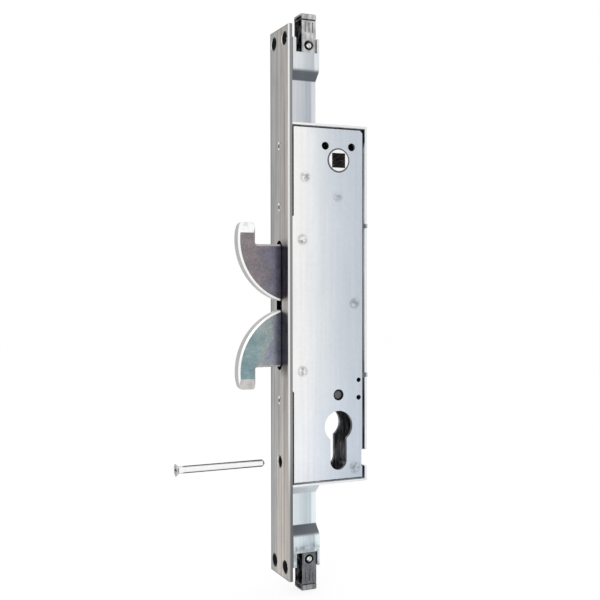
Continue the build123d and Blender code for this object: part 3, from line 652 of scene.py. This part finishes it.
def turned_steel():
    """Plain turned pins."""
    f = Finish("turned_steel")
    grain = f.noise((1500, 1500, 1500), 3.0, 0.6)
    tone = f.ramp(grain, (0.3, (0.50, 0.51, 0.52)), (0.7, (0.66, 0.67, 0.68)))
    rounded = f.rounded(0.0003)
    tone = f.mix(f.both(f.worn(rounded), 0.4), tone, (0.8, 0.8, 0.8))
    return f.done(tone, f.rise(0.26, grain, 0.14), f.bump(grain, FINE_GRAIN, rounded, 0.5))


def lever_pin_steel():
    """Black lever pin with a grey middle and a bright back end."""
    f = Finish("lever_pin_steel", BLACKENED)
    grain = f.noise((1500, 1500, 1500), 3.0, 0.6)
    grey = f.ramp(grain, (0.3, (0.075, 0.078, 0.08)), (0.7, (0.17, 0.175, 0.18)))
    tone = f.mix(f.round_mark(middle("lever_post"), 0.0017, 0.0008), (0.012, 0.012, 0.012), grey)
    back_end = f.between(f.axis("Y"), BACK_OUTER_FACE - 0.0005, BACK_OUTER_FACE - 0.0001)
    tone = f.mix(back_end, tone, (0.55, 0.57, 0.60))
    return f.done(tone, f.rise(0.3, grain, 0.14), f.bump(grain, GRAIN, f.rounded(0.0002), 0.5))


def follower_zinc():
    """Plated follower: a bright ring, painted shade outside it, and streaked painted shade in the square."""
    f = Finish("follower_zinc", BLACKENED)
    grain = f.noise((1300, 1300, 1300), 3.0, 0.6)
    streaks = f.noise((900, 200, 900), 4.0, 0.7, 3.0)
    ring = f.ramp(grain, (0.3, (0.86, 0.865, 0.87)), (0.7, (0.98, 0.98, 0.98)))
    streaked = f.ramp(
        streaks,
        (0.36, (0.02, 0.016, 0.02)),
        (0.56, (0.11, 0.085, 0.09)),
        (0.68, (0.36, 0.31, 0.32)),
    )
    # Painted shade on the walls of the square
    inside = f.without(f.between(f.size(f.facing("Y")), 0.5, 0.9))
    f.metal(f.without(inside))
    tone = f.mix(inside, ring, streaked)
    # Painted shade outside the ring
    off_ring = f.without(f.round_mark(middle("follower"), 0.0058, 0.0003))
    tone = f.mix(f.both(off_ring, 0.9), tone, (0.075, 0.078, 0.085))
    return f.done(tone, f.rise(0.3, inside, 0.55), f.bump(grain, FINE_GRAIN, f.rounded(0.0003), 0.5))


def gear_steel():
    """Matt gear and lever with a coarse grain."""
    f = Finish("gear_steel")
    grain = f.noise((2200, 2200, 2200), 4.0, 0.7)
    tone = f.ramp(grain, (0.3, (0.20, 0.20, 0.21)), (0.7, (0.36, 0.36, 0.37)))
    rounded = f.rounded(0.0003)
    tone = f.mix(f.both(f.worn(rounded), 0.6), tone, (0.6, 0.6, 0.6))
    return f.done(tone, f.rise(0.38, grain, 0.2), f.bump(grain, COARSE_GRAIN, rounded, 0.7))


def sunk_faces(f, front, out, end):
    """Share of painted shade on the connector's sunk faces: most in the line under its cap, less in the
    others.
    """
    behind = f.between(f.axis("Y"), front + 0.00003, front + 0.00015)
    sunk = f.both(behind, f.between(f.facing("Y"), -0.3, -0.6))
    line = f.both(f.between(out, end - 0.0040, end - 0.0038), f.between(out, end - 0.0029, end - 0.0030))
    return f.both(sunk, f.either(f.both(line, 0.97), 0.45))


def connector_zinc(name, front, cap):
    """Streaked connector, with near black painted shade on the side beside the faceplate and in its grooves.
    """
    f = Finish(name, BLACKENED)
    low, high = corners(name)
    out = f.size(f.axis("Z"))
    end = max(abs(low.z), abs(high.z))
    streaks = f.noise((1100, 400, 90), 4.0, 0.65)
    clouds = f.noise((200, 200, 200), 3.0, 0.55, 6.0)
    in_cap = f.between(out, end - 0.0031, end - 0.0029)
    tone = f.mix(in_cap, front, cap)
    tone = f.tint(0.75, tone, f.ramp(streaks, (0.32, (0.50, 0.50, 0.51)), (0.68, (1.5, 1.5, 1.5))))
    tone = f.tint(0.6, tone, f.ramp(clouds, (0.35, (0.6, 0.6, 0.61)), (0.65, (1.4, 1.4, 1.4))))
    # Painted shade on the side beside the faceplate
    side = f.both(f.between(f.facing("X"), -0.3, -0.8), f.between(out, end - 0.0010, end - 0.0016))
    tone = f.mix(side, tone, f.ramp(clouds, (0.38, (0.012, 0.012, 0.013)), (0.62, (0.15, 0.151, 0.155))))
    # Painted shade in the grooves
    tone = f.mix(sunk_faces(f, low.y, out, end), tone, (0.02, 0.02, 0.021))
    rounded = f.rounded(0.00025)
    tone = f.mix(f.both(f.worn(rounded), 0.6), tone, (0.72, 0.72, 0.73))
    return f.done(tone, f.rise(0.28, clouds, 0.15), f.bump(streaks, COARSE_GRAIN, rounded, 0.6))


def clamp_steel(name):
    """Clamp screw: black round a white middle that is a painted highlight."""
    f = Finish(name, BLACKENED)
    grain = f.noise((1500, 1500, 1500), 3.0, 0.6)
    centre = middle(name) + Vector((0.0003, 0.0, 0.0))
    # Painted highlight in the middle of the black head
    white = f.ramp(grain, (0.3, (0.86, 0.86, 0.86)), (0.7, (1.0, 1.0, 1.0)))
    tone = f.mix(f.round_mark(centre, 0.0012, 0.0003), (0.010, 0.010, 0.011), white)
    return f.done(tone, 0.3, f.bump(grain, FINE_GRAIN, f.rounded(0.0002), 0.5))


def screw_nickel():
    """Bright loose screw with a fine thread, painted dark reflections on its shank above and below, and
    painted shade in the thread's grooves and in its dark grey recess.
    """
    f = Finish("screw_nickel", NICKEL_TINT)
    x, y, z = f.axis("X"), f.axis("Y"), f.axis("Z")
    head = corners("cylinder_screw")[0].x
    height = middle("cylinder_screw").z
    grain = f.noise((300, 2000, 2000), 3.0, 0.6)
    tone = f.ramp(grain, (0.3, (0.90, 0.91, 0.91)), (0.7, (0.99, 0.99, 0.99)))
    turn = f.maths("ARCTAN2", y, f.maths("SUBTRACT", z, height))
    turns = f.maths("ADD", f.maths("DIVIDE", x, THREAD_PITCH), f.maths("DIVIDE", turn, 2 * math.pi))
    shank = f.between(x, head + 0.003, head + 0.0045)
    thread = f.both(f.maths("PINGPONG", turns, 0.5), shank)
    upright = f.facing("Z")
    # Painted dark reflection on the shank's faces that look up and down
    painted_dark_reflection = f.either(f.between(upright, 0.70, 0.95), f.between(upright, -0.40, -0.75))
    tone = f.mix(f.both(painted_dark_reflection, shank), tone, (0.09, 0.095, 0.10))
    # Painted shade in the thread's grooves
    groove = f.both(f.between(thread, 0.16, 0.0), f.both(shank, 0.12))
    tone = f.mix(groove, tone, (0.40, 0.41, 0.42))
    # Painted shade in the recess of the head
    sunk = f.both(f.between(x, head + 0.00002, head + 0.0002), f.between(x, head + 0.0015, head + 0.0014))
    recess = f.both(sunk, f.spot(y, z, (0.0, height), 0.0018, 0.0002))
    tone = f.mix(recess, tone, (0.12, 0.12, 0.125))
    return f.done(tone, 0.24, f.bump(thread, THREAD_DEPTH, f.rounded(0.0002), 0.3))


def blend_by_ray(tree, share, plain, seen, output):
    """Shows a share of the second shader to the camera, metal and glass, and the first to other rays."""
    path = tree.nodes.new("ShaderNodeLightPath")
    factor = path.outputs["Is Camera Ray"]
    for ray in ("Is Glossy Ray", "Is Transmission Ray"):
        either = tree.nodes.new("ShaderNodeMath")
        either.operation = "MAXIMUM"
        tree.links.new(factor, either.inputs[0])
        tree.links.new(path.outputs[ray], either.inputs[1])
        factor = either.outputs[0]
    scaled = tree.nodes.new("ShaderNodeMath")
    scaled.operation = "MULTIPLY"
    scaled.inputs[1].default_value = share
    tree.links.new(factor, scaled.inputs[0])
    blend = tree.nodes.new("ShaderNodeMixShader")
    tree.links.new(scaled.outputs[0], blend.inputs[0])
    tree.links.new(plain.outputs[0], blend.inputs[1])
    tree.links.new(seen.outputs[0], blend.inputs[2])
    tree.links.new(blend.outputs[0], tree.nodes[output].inputs["Surface"])


def floor():
    """Pale floor that takes the object's soft shadow."""
    bpy.ops.mesh.primitive_plane_add(size=FLOOR_SIZE, location=(0, 0, FLOOR_HEIGHT - FLOOR_GAP))
    piece = bpy.context.object
    piece.name = "floor"
    material = bpy.data.materials.new("floor_paint")
    material.use_nodes = True
    tree = material.node_tree
    paint = tree.nodes["Principled BSDF"]
    paint.inputs["Base Color"].default_value = (*FLOOR_COLOUR, 1.0)
    paint.inputs["Roughness"].default_value = FLOOR_ROUGHNESS
    glow = tree.nodes.new("ShaderNodeEmission")
    glow.inputs["Strength"].default_value = FLOOR_GLOW
    blend_by_ray(tree, FLOOR_GLOW_SHARE, paint, glow, "Material Output")
    piece.data.materials.append(material)


def room():
    """White room, fully white to the camera and to metal."""
    world = bpy.data.worlds.new("room")
    world.use_nodes = True
    bpy.context.scene.world = world
    tree = world.node_tree
    light = tree.nodes["Background"]
    light.inputs["Color"].default_value = (*WHITE, 1.0)
    light.inputs["Strength"].default_value = ROOM_LIGHT
    white = tree.nodes.new("ShaderNodeBackground")
    white.inputs["Color"].default_value = (*WHITE, 1.0)
    white.inputs["Strength"].default_value = ROOM_SEEN
    blend_by_ray(tree, 1.0, light, white, "World Output")


def softbox(name, place, size, power):
    lamp = bpy.data.lights.new(name, "AREA")
    lamp.shape = "SQUARE"
    lamp.size = size
    lamp.energy = power
    piece = bpy.data.objects.new(name, lamp)
    piece.location = place
    piece.rotation_euler = (-Vector(place)).to_track_quat("-Z", "Y").to_euler()
    bpy.context.collection.objects.link(piece)


def camera():
    lens = bpy.data.cameras.new("camera")
    lens.lens = CAMERA_LENS
    lens.sensor_width = CAMERA_SENSOR
    lens.clip_start = CAMERA_NEAREST
    piece = bpy.data.objects.new("camera", lens)
    piece.location = CAMERA_PLACE
    turn = (CAMERA_TARGET - CAMERA_PLACE).to_track_quat("-Z", "Y").to_euler()
    turn.rotate_axis("Z", CAMERA_ROLL)
    piece.rotation_euler = turn
    bpy.context.collection.objects.link(piece)
    bpy.context.scene.camera = piece


dress(faceplate_steel(), "faceplate")
dress(plate_rivets(), "faceplate_rivets")
dress(cover_zinc(), "case_cover", "case_posts", "upper_hook_pivot", "lower_hook_pivot", "idler_axle")
dress(back_zinc(), "case_back")
dress(wall_zinc(), "case_walls")
dress(bar_zinc(), "upper_drive_bar", "lower_drive_bar")
dress(hook_steel("upper_hook", UPPER_HOOK_SIDE, UPPER_HOOK_TIP), "upper_hook")
dress(hook_steel("lower_hook", LOWER_HOOK_SIDE, LOWER_HOOK_TIP), "lower_hook")
dress(turned_steel(), "upper_hook_drive_pin", "lower_hook_drive_pin")
dress(lever_pin_steel(), "lever_post")
dress(follower_zinc(), "follower")
dress(gear_steel(), "idler_gear", "lock_lever")
dress(connector_zinc("upper_connector", *UPPER_CONNECTOR), "upper_connector")
dress(connector_zinc("lower_connector", *LOWER_CONNECTOR), "lower_connector")
dress(clamp_steel("upper_clamp_screw"), "upper_clamp_screw")
dress(clamp_steel("lower_clamp_screw"), "lower_clamp_screw")
dress(screw_nickel(), "cylinder_screw")

floor()
room()
softbox("key", (-0.9, -0.9, 1.0), 0.8, 2.4)
softbox("fill", (0.9, 0.4, 0.7), 0.8, 1.6)
camera()
bpy.context.scene.view_settings.view_transform = "Standard"
